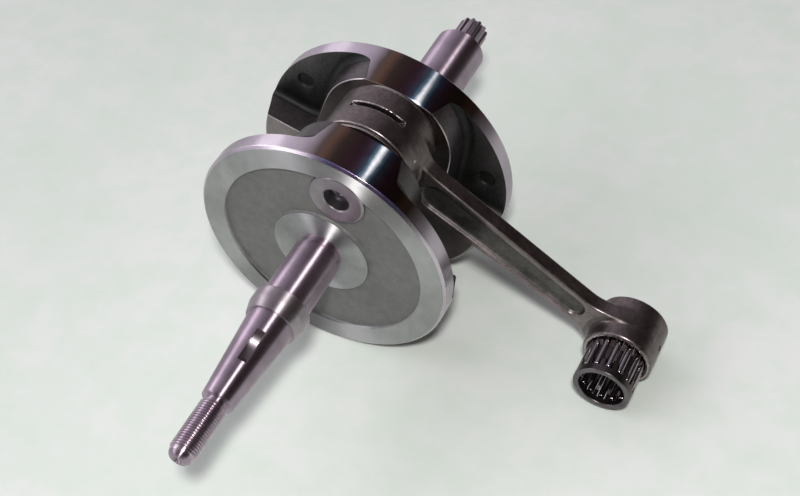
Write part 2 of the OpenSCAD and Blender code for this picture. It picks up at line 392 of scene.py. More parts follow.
def steel(name, colour, dark, roughness, lines=0.0, line_scale=1800.0, grain=0.0, anisotropic=0.0,
          centre=(0, 0), tint=0.0, wear=0.15, temper_and_streak_stops=TEMPER_STOPS_WITH_STREAK):
    """Bare machined steel: colour drifts between two tones, tool lines and grain move the bump and gloss. A tint
    adds temper colours with a painted highlight streak.
    """
    material = bpy.data.materials.new(name)
    material.use_nodes = True
    tree = material.node_tree
    shader = tree.nodes["Principled BSDF"]
    radius, length, place = lathe_space(tree, centre)
    cloud = noise(tree, place, 55.0, detail=5.0, roughness=0.6)
    smear = noise(tree, place, 260.0, detail=4.0, roughness=0.65, distortion=0.6)
    stroke = tool_lines(tree, radius, length, line_scale)
    fine = noise(tree, place, 5200.0, detail=2.0, roughness=0.6)
    base = mix(tree, ramp(tree, cloud, [(0.36, 0.0), (0.66, 1.0)]), dark, colour)
    base = mix(tree, spread(tree, stroke, 0.0, 2 * wear), base, tuple(0.55 * c for c in colour))
    # Temper colours, and a painted highlight streak along the rim.
    if tint:
        base = temper_tint_and_streak(tree, base, place, tint, temper_and_streak_stops)
    rough = maths(tree, "ADD", spread(tree, smear, roughness * 0.75, roughness * 1.25),
                  spread(tree, stroke, -0.05, 0.07))
    height = maths(tree, "ADD", maths(tree, "MULTIPLY", stroke, lines), maths(tree, "MULTIPLY", fine, grain))
    bump = node(tree, "ShaderNodeBump", {"Height": height, "Strength": 0.7, "Distance": 1.2e-5})
    tree.links.new(base, shader.inputs["Base Color"])
    tree.links.new(rough, shader.inputs["Roughness"])
    tree.links.new(bump.outputs[0], shader.inputs["Normal"])
    shader.inputs["Metallic"].default_value = 1.0
    if anisotropic:
        shader.inputs["Anisotropic"].default_value = anisotropic
        shader.inputs["Anisotropic Rotation"].default_value = 0.25
        tangent = node(tree, "ShaderNodeTangent", direction_type="RADIAL", axis="Y")
        tree.links.new(tangent.outputs[0], shader.inputs["Tangent"])
    return material


def temper_tint_and_streak(tree, base, place, amount, stops):
    """Temper colours on the rim beside the pin, where the webs were heated to be pressed together, with a painted
    highlight streak down their middle.
    """
    centre = (WHEEL_R * math.cos(HEAT_AND_STREAK_ANGLE), WHEEL_R * math.sin(HEAT_AND_STREAK_ANGLE))
    radius, _, _ = lathe_space(tree, centre)
    wander = spread(tree, noise(tree, place, 90.0, detail=3.0), -0.0015, 0.0015)
    reach = maths(tree, "DIVIDE", maths(tree, "ADD", radius, wander), HEAT_FAR * MM, clamp=True)
    fade = ramp(tree, reach, [(0.70, amount), (1.0, 0.0)])
    return mix(tree, fade, base, ramp(tree, reach, stops))


def forged(name, light, dark, roughness, pits=1.0, metallic=0.75, scale=1.0, edge_wear_and_highlight=None):
    """Dark forging skin: cloudy oxide with pits and a slightly uneven surface, brighter on sharp edges, partly
    rubbing wear and partly a painted highlight.
    """
    material = bpy.data.materials.new(name)
    material.use_nodes = True
    tree = material.node_tree
    shader = tree.nodes["Principled BSDF"]
    place = node(tree, "ShaderNodeTexCoord").outputs["Object"]
    cloud = noise(tree, place, 90.0 * scale, detail=6.0, roughness=0.62)
    skin = noise(tree, place, 620.0 * scale, detail=5.0, roughness=0.6)
    pitted = node(tree, "ShaderNodeTexVoronoi", {"Vector": place, "Scale": 900.0 * scale}).outputs["Distance"]
    grain = noise(tree, place, 3400.0 * scale, detail=2.0)
    base = mix(tree, ramp(tree, cloud, [(0.34, 0.0), (0.68, 1.0)]), dark, light)
    base = mix(tree, ramp(tree, skin, [(0.30, 0.55), (0.55, 0.0)]), base, tuple(0.6 * c for c in dark))
    # Sharp edges get a brighter colour: part rubbing wear, part painted highlight.
    if edge_wear_and_highlight is not None:
        edge = node(tree, "ShaderNodeNewGeometry").outputs["Pointiness"]
        worn_and_highlit = ramp(tree, maths(tree, "ADD", edge, spread(tree, skin, -0.02, 0.02)), [(0.515, 0.0), (0.56, 1.0)])
        base = mix(tree, worn_and_highlit, base, edge_wear_and_highlight)
    pits_height = maths(tree, "MULTIPLY", ramp(tree, pitted, [(0.0, 0.0), (0.35, 1.0)]), 0.35)
    height = maths(tree, "ADD", skin, maths(tree, "ADD", pits_height, maths(tree, "MULTIPLY", grain, 0.25)))
    bump = node(tree, "ShaderNodeBump", {"Height": height, "Strength": 0.8, "Distance": 5e-5 * pits})
    tree.links.new(base, shader.inputs["Base Color"])
    tree.links.new(spread(tree, cloud, roughness * 0.8, roughness * 1.2), shader.inputs["Roughness"])
    tree.links.new(bump.outputs[0], shader.inputs["Normal"])
    shader.inputs["Metallic"].default_value = metallic
    return material


# ---- materials ----

# The steels' lavender tone, here and in the rim's, chamfer's, thread's and collar's colours, is a painted reflection
# tint standing in for the room's lavender light seen in the metal.
LAVENDER = (0.49, 0.395, 0.475)
LAVENDER_DARK = (0.34, 0.27, 0.325)

ground = steel("ground_journal_steel", LAVENDER, LAVENDER_DARK, 0.36, lines=0.7, anisotropic=1.0)
taper_steel = steel("ground_taper_steel", LAVENDER, LAVENDER_DARK, 0.38, lines=0.9, line_scale=1200,
                    anisotropic=1.0)
thread_steel = steel("rolled_thread_steel", (0.60, 0.51, 0.57), LAVENDER_DARK, 0.30, lines=0.6, anisotropic=0.8)
rim_ring = steel("turned_rim_ring", (0.60, 0.60, 0.60), (0.50, 0.50, 0.50), 0.50, lines=1.6, line_scale=1500,
                 anisotropic=1.0, tint=0.14)
hub_face = steel("turned_hub_face", (0.58, 0.58, 0.59), (0.44, 0.44, 0.44), 0.52, lines=1.8, line_scale=1300,
                 anisotropic=1.0)
rim_side = steel("ground_rim", (0.60, 0.53, 0.60), (0.50, 0.44, 0.49), 0.31, lines=0.6, line_scale=1500,
                 anisotropic=1.0, tint=1.0)
rim_edge = steel("chamfered_rim_edge", (0.62, 0.56, 0.62), (0.52, 0.47, 0.52), 0.24, lines=0.8, line_scale=1500,
                 tint=0.95, temper_and_streak_stops=EDGE_TEMPER_STOPS_WITH_STREAK)
# Darker than the other ground faces: painted shade between the webs, plus the temper colours and painted streak.
inner_face = steel("ground_inner_face", (0.30, 0.265, 0.26), (0.20, 0.175, 0.17), 0.32, lines=1.6, tint=0.7)
wall_skin = forged("satin_boss_wall", (0.110, 0.096, 0.100), (0.065, 0.057, 0.060), 0.36, pits=0.5, metallic=0.9)
wall_edge = steel("dressed_boss_edge", (0.58, 0.53, 0.55), (0.44, 0.40, 0.42), 0.30, lines=0.6)
recess_skin = forged("blasted_recess", (0.205, 0.205, 0.200), (0.150, 0.150, 0.146), 0.60, pits=0.5,
                     metallic=0.35, scale=2.2)
pocket_skin = forged("dark_forging_skin", (0.020, 0.020, 0.020), (0.007, 0.008, 0.007), 0.48, pits=1.2,
                     metallic=0.6, edge_wear_and_highlight=(0.09, 0.085, 0.085))
rod_skin = forged("rod_forging_skin", (0.195, 0.160, 0.156), (0.100, 0.084, 0.081), 0.34, pits=0.6,
                  metallic=0.95, edge_wear_and_highlight=(0.42, 0.37, 0.37))
# A lighter copy of the rod's skin for the beam's flange faces: painted light where the lamp falls on them.
rod_flange_painted_light = forged("rod_flange_faces_painted_light", (0.300, 0.255, 0.258), (0.170, 0.145, 0.146), 0.36, pits=0.5,
                    metallic=0.9)
rod_recess = forged("rod_recess_skin", (0.150, 0.142, 0.138), (0.060, 0.056, 0.053), 0.42, pits=1.2, metallic=0.8)
rod_ground = steel("rod_ground_faces", (0.48, 0.42, 0.43), (0.34, 0.30, 0.30), 0.28, lines=1.5,
                   centre=SMALL_AXIS)
pin_steel = steel("pin_end_steel", (0.36, 0.33, 0.35), (0.25, 0.23, 0.245), 0.36, lines=0.8, line_scale=1100,
                  centre=PIN_AXIS, wear=0.10)
# Darker than the pin's ends: painted shade deep in the pin's bore.
plug_steel = steel("oil_plug_steel", (0.20, 0.19, 0.215), (0.13, 0.12, 0.14), 0.42, lines=0.8, grain=0.8,
                   centre=PIN_AXIS)
collar_steel = steel("collar_steel", (0.50, 0.44, 0.475), (0.34, 0.30, 0.32), 0.42, lines=1.0, line_scale=1300,
                     anisotropic=0.95)
spline_steel = steel("spline_steel", (0.44, 0.38, 0.42), (0.26, 0.22, 0.24), 0.32, lines=0.8)
washer_steel = steel("washer_steel", (0.42, 0.38, 0.37), (0.30, 0.27, 0.26), 0.30, lines=1.2,
                     centre=PIN_AXIS)
cage_steel = steel("cage_steel", (0.105, 0.085, 0.088), (0.050, 0.042, 0.044), 0.34, lines=1.0, grain=0.6,
                   centre=SMALL_AXIS)
cage_lip = steel("cage_lip_steel", (0.20, 0.18, 0.19), (0.10, 0.09, 0.095), 0.28, lines=1.2,
                 centre=SMALL_AXIS)
needle_steel = steel("needle_steel", (0.34, 0.30, 0.32), (0.22, 0.20, 0.21), 0.16, lines=0.4)


# ---- crank halves, built with "u" from the crank axis to the pin and "v" across, and turned to the pin last ----

RIM, EDGE, RING, RECESS, HUB, SHAFT, TAPER, INNER, SPLINE = range(9)
half_materials = [rim_side, rim_edge, rim_ring, recess_skin, hub_face, ground, taper_steel, inner_face,
                  spline_steel]

COLLAR_START, COLLAR_END = 69.0, 80.0
SEAT_R = 10.8
TAPER_START, TAPER_END, TAPER_TIP_R = 81.0, 123.0, 7.3
THREAD_START, THREAD_PITCH, THREAD_R, THREAD_ROOT_R = 124.75, 1.25, 6.0, 5.2375
THREAD_END = FLYWHEEL_END - 3.0
SPLINE_START, SPLINE_R, SPLINE_ROOT_R, SPLINE_TEETH = 108.0, 7.5, 6.5, 12
# The pocket's ledges lie at LEDGE_U and end BOSS_ROOT to either side; the boss round the pin is an arc about BOSS_U.
LEDGE_U, BOSS_U, BOSS_ROOT = 2.0, 31.5, 33.0
BOSS_R = WHEEL_R - BOSS_U + 2.2
# How deep and how wide the slope on the counterweight's rim is.
DRAFT_IN, DRAFT_W = 4.0, 12.0


def web_outline():
    """The web's profile as (r, s, material, corner radius), from the axis on the inner face to the hub."""
    return [
        (0, WEB_IN, INNER, 0), (WHEEL_R - 0.7, WEB_IN, INNER, 0.3), (WHEEL_R, WEB_IN + 0.7, RIM, 0.3),
        (WHEEL_R, WEB_IN + DRAFT_W, RIM, 0.3),
        (WHEEL_R, WEB_OUT - RIM_CHAMFER, EDGE, 0.25), (WHEEL_R - RIM_CHAMFER, WEB_OUT, RING, 0.25),
        (RIM_INNER_R, WEB_OUT, RING, 0.25), (RIM_INNER_R - 0.25, RECESS_FLOOR, RECESS, 0.5),
        (HUB_R + 0.25, RECESS_FLOOR, RECESS, 0.5), (HUB_R, WEB_OUT, HUB, 0.25),
    ]


def drafted(r, s, angles):
    """Radii round the web: the counterweight's rim narrows towards the inner face, and the boss's doesn't."""
    radii = np.full(len(angles), float(r))
    if r > RIM_INNER_R and s < WEB_IN + DRAFT_W:
        away_from_boss = 1 - np.clip((WHEEL_R * np.cos(angles) - LEDGE_U - 1) / 6, 0, 1)
        radii -= DRAFT_IN * (1 - (s - WEB_IN) / DRAFT_W) * away_from_boss
    return radii


def crank_half(name, outline, side, segments, reshape):
    """The turned blank of one half, with the inner face's finish on the counterweight's slope."""
    half = turned(name, outline, half_materials, side, segments, reshape=reshape)
    for face in half.data.polygons:
        x, y, _ = face.center / MM
        if face.material_index == RIM and abs(y) < WEB_IN + DRAFT_W - 0.3 and x < LEDGE_U:
            face.material_index = INNER
    return half


def boss_curve():
    """The wall between the thick and the pocketed part of the web, as points (u, v) with rounded corners."""
    past_rim = 75.0
    half = [(LEDGE_U, -past_rim), (LEDGE_U, -BOSS_ROOT)]
    arc = [(BOSS_U + BOSS_R * math.cos(a), BOSS_R * math.sin(a)) for a in np.radians(np.arange(-88, 89, 4))]
    points = half + arc + [(u, -v) for u, v in reversed(half)]
    dense, spacing, smoothing_rounds = [], 1.2, 32
    for (u0, v0), (u1, v1) in zip(points, points[1:]):
        count = max(1, round(math.hypot(u1 - u0, v1 - v0) / spacing))
        dense += [(u0 + (u1 - u0) * i / count, v0 + (v1 - v0) * i / count) for i in range(count)]
    curve = np.array(dense + [points[-1]])
    for _ in range(smoothing_rounds):
        curve[1:-1] = (curve[:-2] + 2 * curve[1:-1] + curve[2:]) / 4
    return curve


def pocket_cutter(side):
    """The space of both pockets, with draft on the wall and a fillet along the floor."""
    curve = boss_curve()
    heading = np.gradient(curve, axis=0)
    heading /= np.linalg.norm(heading, axis=1)[:, None]
    outward = np.stack([heading[:, 1], -heading[:, 0]], axis=1)
    depth = POCKET_FLOOR - WEB_IN
    fillet, draft, edge, past_face, past_rim = 3.2, 0.10, 0.35, 1.5, 130.0
    levels = [(-0.6, WEB_IN - past_face), (-0.15, WEB_IN - 0.2), (edge, WEB_IN + edge)]
    levels += [(edge + draft * t, WEB_IN + edge + t) for t in np.linspace(0.6, depth - fillet - edge, 5)]
    foot = edge + draft * (depth - fillet - edge)
    levels += [(foot + fillet * (1 - math.cos(a)), POCKET_FLOOR - fillet * (1 - math.sin(a)))
               for a in np.linspace(0.2, math.pi / 2, 7)]
    rows = [(curve + outward * out, s) for out, s in levels]
    count = len(curve)
    wide = np.stack([np.full(count, past_rim), np.linspace(curve[0, 1], curve[-1, 1], count)], axis=1)
    rows += [(wide, POCKET_FLOOR), (wide, WEB_IN - past_face)]
    points = [(u, side * s, v) for row, s in rows for u, v in row]
    skin, dressed, satin = range(3)
    finishes = [dressed] * 2 + [satin] * 5 + [skin] * (len(rows) - 7)
    faces, tags = [], []
    for k, finish in enumerate(finishes):
        low, high = k * count, ((k + 1) % len(rows)) * count
        faces += [[low + i, low + i + 1, high + i + 1, high + i] for i in range(count - 1)]
        tags += [finish] * (count - 1)
    faces.append([k * count for k in range(len(rows))])
    faces.append([k * count + count - 1 for k in reversed(range(len(rows)))])
    return make_object("pocket_cutter", points, faces, [pocket_skin, wall_edge, wall_skin], tags + [skin, skin])


def pin_hole_cutter(side):
    """The pin's hole, with a slight break of its outer edge. An odd count keeps its edges off the blank's."""
    r, segments = PIN_R + 0.06, 129
    outline = [(0, WEB_IN - 3, 0), (r, WEB_IN - 3, 0), (r, WEB_OUT - 0.35, 0), (r + 0.5, WEB_OUT + 0.2, 0),
               (r + 0.5, WEB_OUT + 2, 0), (0, WEB_OUT + 2, 0)]
    return turned("pin_hole_cutter", outline, [rim_ring], side, segments, (THROW, 0))


def dimple_cutters(side):
    """Two shallow round marks in the pocket floors."""
    depth, r = 0.8, 4.3
    u, v = 20.5, 46.3
    outline = [(0, POCKET_FLOOR - 2, 0), (r + 0.9, POCKET_FLOOR - 2, 0), (r, POCKET_FLOOR + 0.2, 0),
               (r - 0.7, POCKET_FLOOR + depth, 0), (0, POCKET_FLOOR + depth, 0)]
    return [turned("dimple_cutter", outline, [pocket_skin], side, 40, (u, mirror * v)) for mirror in (-1, 1)]


def centre_drilling(side, s):
    """The countersunk centre hole in a shaft's end face at s."""
    outline = [(0, s - 3.2, 0), (0.5, s - 3, 0), (0.7, s - 1.6, 0), (1.6, s - 0.5, 0), (2.1, s + 0.3, 0),
               (0, s + 0.3, 0)]
    return turned("centre_cutter", outline, [spline_steel], side, 32)


def key_cutter():
    """The half-round key's seat in the taper, as the disc of the cutter that mills it, centred at (u, s)."""
    r, width, u, s = 9.5, 4.0, 14.4, 98.0
    count = 72
    angles = np.arange(count) * TURN / count
    points = [(u + r * math.cos(a), -(s + r * math.sin(a)), v) for v in (-width / 2, width / 2) for a in angles]
    faces = [[i, (i + 1) % count, count + (i + 1) % count, count + i] for i in range(count)]
    faces += [list(range(count)), list(range(2 * count - 1, count - 1, -1))]
    return make_object("key_cutter", points, faces, [spline_steel])


def finish_half(half, name, side, *extra):
    """Cuts the pockets, the pin's hole and any extras, and turns the half so that its boss meets the pin."""
    cut(half, pocket_cutter(side), pin_hole_cutter(side), *dimple_cutters(side), *extra)
    transformed(half, in_throw)
    crisp(half)
    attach(half, "crank")
    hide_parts(name)


def flywheel_half():
    """The near web with its journal, collar seat and keyed taper; the threaded end is a piece of its own."""
    near_r = 11.0
    outline = rounded(web_outline() + [
        (near_r - 0.8, WEB_OUT, SHAFT, 0.5), (near_r - 0.8, WEB_OUT + 3.0, SHAFT, 0.6),
        (near_r, WEB_OUT + 3.8, SHAFT, 0.3), (near_r, COLLAR_START - 0.6, SHAFT, 0.2),
        (SEAT_R, COLLAR_START, SHAFT, 0), (SEAT_R, TAPER_START - 0.5, TAPER, 0.2),
        (SEAT_R - 0.1, TAPER_START, TAPER, 0.1), (TAPER_TIP_R, TAPER_END - 0.4, TAPER, 0.3),
        (TAPER_TIP_R - 0.5, TAPER_END, TAPER, 0.2), (THREAD_ROOT_R - 0.35, TAPER_END + 0.3, TAPER, 0.4),
        (THREAD_ROOT_R - 0.35, THREAD_START + 0.2, TAPER, 0), (0, THREAD_START + 0.2, TAPER, 0),
    ])
    half = crank_half("flywheel_side_half_steel", outline, -1, 192, drafted)
    finish_half(half, "flywheel_side_half", -1, key_cutter())


def threaded_end():
    """The M12 nut thread, a true helix that fades out at both ends, with the domed and centre-drilled tip."""
    step = THREAD_PITCH / 10
    lengths = np.arange(THREAD_START, THREAD_END + 0.01, step)
    outline = [(0, THREAD_START - 0.1, 0)]
    outline += [(THREAD_ROOT_R, s, 0) for s in lengths]
    dome = FLYWHEEL_END - THREAD_END
    outline += [(THREAD_ROOT_R * (1 - 0.45 * (1 - math.cos(a))), THREAD_END + dome * math.sin(a), 1)
                for a in np.radians([18, 36, 54, 70, 82])]
    outline += [(THREAD_ROOT_R * 0.45, FLYWHEEL_END, 1), (0, FLYWHEEL_END, 1)]

    def helix(r, s, angles):
        if s < THREAD_START or s > THREAD_END + step / 2:
            return np.full(len(angles), r)
        phase = ((s - THREAD_START) / THREAD_PITCH - angles / TURN) % 1.0
        crest = np.clip(1.6 * (1 - np.abs(2 * phase - 1)) - 0.25, 0, 1)
        start = min(1.0, (s - THREAD_START) / THREAD_PITCH)
        end = min(1.0, (THREAD_END - s) / THREAD_PITCH + 0.15)
        return THREAD_ROOT_R + (THREAD_R - THREAD_ROOT_R) * crest * start * end

    made = turned("flywheel_nut_thread_end", outline, [thread_steel, taper_steel], -1, 96, reshape=helix)
    cut(made, centre_drilling(-1, FLYWHEEL_END))
    crisp(made, 50)
    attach(made, "crank")
    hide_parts("flywheel_side_half")


def drive_half():
    """The far web with its long journal and splined end."""
    far_r = 12.5
    spline_rows = [(SPLINE_ROOT_R, s, SPLINE, 0) for s in (108.1, 108.6, 109.5, 112, 116, 120, 122.4)]
    outline = rounded(web_outline() + [
        (far_r - 0.8, WEB_OUT, SHAFT, 0.5), (far_r - 0.8, WEB_OUT + 3.0, SHAFT, 0.6),
        (far_r, WEB_OUT + 3.8, SHAFT, 0.3), (far_r, SPLINE_START - 1, SHAFT, 0.3),
        (far_r - 1, SPLINE_START, SPLINE, 0.3), *spline_rows,
        (SPLINE_ROOT_R - 0.2, DRIVE_END - 0.6, SPLINE, 0), (SPLINE_ROOT_R - 0.8, DRIVE_END, SPLINE, 0.2),
        (0, DRIVE_END, SPLINE, 0),
    ])

    def teeth(r, s, angles):
        if s < SPLINE_START + 0.05 or s > DRIVE_END - 0.3:
            return drafted(r, s, angles)
        phase = (angles * SPLINE_TEETH / TURN) % 1.0
        crest = np.clip(2.9 * (1 - np.abs(2 * phase - 1)) - 0.95, 0, 1)
        return r + (SPLINE_R - SPLINE_ROOT_R) * crest

    half = crank_half("drive_side_half_steel", outline, 1, 240, teeth)
    finish_half(half, "drive_side_half", 1, centre_drilling(1, DRIVE_END))


def crank_pin():
    """The hollow pin that is pressed through both webs."""
    edge = 0.8
    outline = rounded([
        (PIN_BORE_R, 0, 0, 0), (PIN_BORE_R, WEB_OUT - 0.7, 0, 0.1), (PIN_BORE_R + 0.7, WEB_OUT, 0, 0.2),
        (PIN_R - edge, WEB_OUT, 0, 0.3), (PIN_R, WEB_OUT - edge, 0, 0.3), (PIN_R, -WEB_OUT + edge, 0, 0.3),
        (PIN_R - edge, -WEB_OUT, 0, 0.3), (PIN_BORE_R + 0.7, -WEB_OUT, 0, 0.2),
        (PIN_BORE_R, -WEB_OUT + 0.7, 0, 0.1), (PIN_BORE_R, 0, 0, 0),
    ])[:-1]
    made = crisp(turned("crank_pin_ground", outline, [pin_steel], 1, 128, PIN_AXIS))
    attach(made, "crank")
    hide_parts("crank_pin")


def pin_plugs():
    """Slightly dished steel plugs that seal the pin's oil passage."""
    for node_name in ("pin_plug_flywheel_side", "pin_plug_drive_side"):
        low, high = node_box(node_name)
        side = 1 if low.y > 0 else -1
        inner, outer = sorted((abs(low.y), abs(high.y)))
        r = PIN_BORE_R
        outline = rounded([
            (0, inner, 0, 0), (r, inner, 0, 0.2), (r, outer, 0, 0.3), (r - 1.0, outer - 0.1, 0, 0.3),
            (r - 1.6, outer - 0.6, 0, 0.4), (0, outer - 0.8, 0, 0),
        ])
        made = crisp(turned(node_name + "_dished", outline, [plug_steel], side, 64, PIN_AXIS))
        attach(made, "crank")
        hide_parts(node_name)


def seal_collar():
    """The ring on the flywheel-side shaft: a full-width land, then a slope down to the taper."""
    low, high = node_box("seal_collar")
    r = (high.x - low.x) / 2
    middle = COLLAR_START + 0.55 * (COLLAR_END - COLLAR_START)
    outline = rounded([
        (SEAT_R + 0.02, COLLAR_START, 0, 0), (r - 0.6, COLLAR_START, 0, 0.2), (r, COLLAR_START + 0.6, 0, 0.3),
        (r, middle, 0, 0.5), (SEAT_R + 1.1, COLLAR_END - 0.1, 0, 0.3), (SEAT_R + 0.7, COLLAR_END, 0, 0.2),
        (SEAT_R + 0.02, COLLAR_END, 0, 0),
    ])
    made = crisp(turned("seal_collar_ground", outline, [collar_steel], -1, 160))
    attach(made, "crank")
    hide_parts("seal_collar")


def thrust_washers():
    """The loose rings between the big end and the webs."""
    for node_name, body in (("thrust_washer_flywheel_side", "flywheel_side_washer"),
                            ("thrust_washer_drive_side", "drive_side_washer")):
        low, high = node_box(node_name)
        side = 1 if low.y > 0 else -1
        inner, outer = sorted((abs(low.y), abs(high.y)))
        r = (high.x - low.x) / 2
        outline = rounded([
            (PIN_R + 0.05, inner, 0, 0), (r, inner, 0, 0.25), (r, outer, 0, 0.25), (PIN_R + 0.05, outer, 0, 0),
        ])
        made = crisp(turned(node_name + "_lapped", outline, [washer_steel], side, 128, PIN_AXIS))
        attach(made, body)
        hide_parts(node_name)


# ---- connecting rod: x runs from the big end to the small end, y through its thickness, z across ----

BIG_R, BIG_HALF_W = 22.85, 12.0
SMALL_R, SMALL_HALF_W = 15.8, 11.5
BIG_BORE_R, SMALL_BORE_R = 17.035, 13.04
BEAM_HALF_T, BEAM_WEB_HALF_T = 3.8, 1.5
# Half heights of the beam and its recess, as (x, half height) near each end.
BEAM_ROOT = (24.0, 11.2)
BEAM_TIP = (ROD_LENGTH - 22, 7.9)
RECESS_ROOT = (35.0, 7.9)
RECESS_TIP = (ROD_LENGTH - 28, 5.4)


def along(x, root, tip):
    """A half height that runs evenly from root to tip along the beam."""
    return root[1] + np.clip((x - root[0]) / (tip[0] - root[0]), 0, 1) * (tip[1] - root[1])


def rod_field(x, y, z):
    """Distance to the rod's surface in the rod's frame, in mm."""
    from_big, from_small = np.hypot(x, z), np.hypot(x - ROD_LENGTH, z)
    big = extruded(from_big - BIG_R, np.abs(y) - BIG_HALF_W, 0.7)
    small = extruded(from_small - SMALL_R, np.abs(y) - SMALL_HALF_W, 1.3)
    edge = np.maximum(np.abs(z) - along(x, BEAM_ROOT, BEAM_TIP), np.abs(x - ROD_LENGTH / 2) - ROD_LENGTH / 2)
    edge = blend_min(blend_min(edge, from_big - BIG_R + 1, 10), from_small - SMALL_R + 1, 13)
    beam = extruded(edge, np.abs(y) - BEAM_HALF_T, 1.1)
    reach = np.clip(x, RECESS_ROOT[0], RECESS_TIP[0])
    depth = np.abs(y) - BEAM_WEB_HALF_T
    hollow = np.hypot(x - reach, z) - along(x, RECESS_ROOT, RECESS_TIP) + 0.28 * (BEAM_HALF_T - np.abs(y))
    beam = blend_max(beam, -blend_max(hollow, -depth, 1.6), 0.9)
    from_ends = np.minimum(x - 6, ROD_LENGTH - 4 - x) / 12
    body = blend_min(beam, np.minimum(big, small), 0.01 + 4.5 * np.clip(from_ends, 0, 1))
    bores = np.minimum(from_big - BIG_BORE_R - np.maximum(np.abs(y) - BIG_HALF_W + 0.6, 0),
                       from_small - SMALL_BORE_R - np.maximum(np.abs(y) - SMALL_HALF_W + 0.8, 0))
    body = np.maximum(body, -bores)
    return np.maximum(body, -np.minimum(oil_slots(x, y, z), oil_holes(x, y, z)))


def oil_slots(x, y, z):
    """Two sawn slots across the big end's crown."""
    cutter_r, cutter_away, half_w, angle = 29.0, 45.0, 1.2, math.radians(114.7)
    u = x - cutter_away * math.cos(angle)
    slots = [np.hypot(u, z - side * cutter_away * math.sin(angle)) - cutter_r for side in (-1, 1)]
    return np.maximum(np.minimum(*slots), np.abs(y) - half_w)


def oil_holes(x, y, z):
    """Two drilled and countersunk oil holes in the small end."""
    r, holes = 1.3, []
    for angle in np.radians([39, 23]):
        u, w = x - ROD_LENGTH, z
        out = u * math.cos(angle) + w * math.sin(angle)
        off = np.hypot(-u * math.sin(angle) + w * math.cos(angle), y)
        holes.append(np.maximum(off - r - np.maximum(out - SMALL_R + 0.5, 0), -out))
    return np.minimum(*holes)


def connecting_rod():
    """The forging as one surface. Its grid starts at odd places, to keep grid points off the flat faces."""
    points, quads = surface_net(rod_field, (-25.17, -13.77, -25.17), (ROD_LENGTH + 18, 13.6, 25), 0.44)
    x, y, z = points[quads].mean(axis=1).T
    from_big, from_small = np.hypot(x, z), np.hypot(x - ROD_LENGTH, z)
    flat = (np.abs(y) > BIG_HALF_W - 0.1) | ((np.abs(y) > SMALL_HALF_W - 0.1) & (x > ROD_LENGTH / 2))
    bore = (from_big < BIG_BORE_R + 0.8) | (from_small < SMALL_BORE_R + 0.8)
    hollow = (np.abs(y) < BEAM_HALF_T - 0.8) & (np.abs(z) < along(x, RECESS_ROOT, RECESS_TIP) - 0.3)
    hollow &= (x > RECESS_ROOT[0] - 9) & (x < RECESS_TIP[0] + 5)
    # The flange faces take the lighter skin, painted light.
    flange = (np.abs(y) > BEAM_HALF_T - 0.5) & (np.abs(y) < BEAM_HALF_T + 0.2)
    flange &= (from_big > BIG_R + 2) & (from_small > SMALL_R + 2)
    skin, dressed, sunk, outer = range(4)
    tags = np.select([flat | bore, hollow, flange], [dressed, sunk, outer], skin)
    made = make_object("connecting_rod_forging", in_rod(points), quads.tolist(),
                       [rod_skin, rod_ground, rod_recess, rod_flange_painted_light], tags)
    crisp(made, 60)
    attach(made, "rod")
    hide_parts("connecting_rod")


# ---- needle bearings ----

NEEDLES = 14
NEEDLE_PITCH = TURN / NEEDLES


